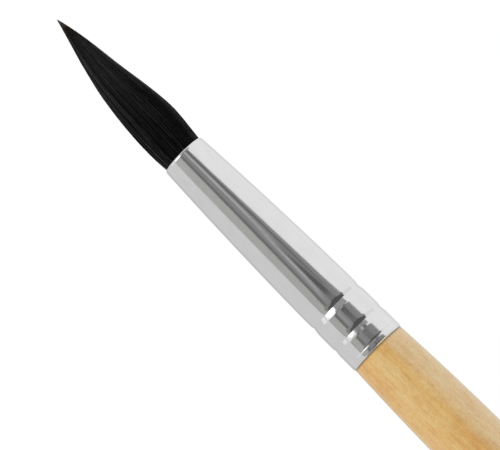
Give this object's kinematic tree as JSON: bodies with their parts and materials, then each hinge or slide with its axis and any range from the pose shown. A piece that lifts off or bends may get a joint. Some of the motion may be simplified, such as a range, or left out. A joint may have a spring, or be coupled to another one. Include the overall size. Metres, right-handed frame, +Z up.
{
  "type": "calligraphy brush",
  "caption": "Round pointed calligraphy brush: black hair tuft set in a seamless crimped aluminium ferrule on a lacquered, turned wooden handle.",
  "frame": {"origin": "on the surface that the brush lies on, under the middle of its overall length", "axes": "+X along the brush, from the tuft's point towards the handle's tail; +Z up, away from that surface"},
  "size_m": [0.205, 0.0112, 0.0113],
  "materials": {
    "lacquered_birch": "gloss",
    "polished_aluminium": "polished",
    "black_hair": "satin",
    "brown_tipped_hair": "satin",
    "linen_thread": "matte",
    "cured_resin": "gloss",
    "wood_glue": "matte"
  },
  "bodies": {
    "root": {"handle": "lacquered_birch", "ferrule": "polished_aluminium", "outer_hairs": "black_hair", "core_hairs": "brown_tipped_hair", "tie_thread": "linen_thread", "resin_plug": "cured_resin", "handle_glue": "wood_glue"}
  },
  "joints": []
}
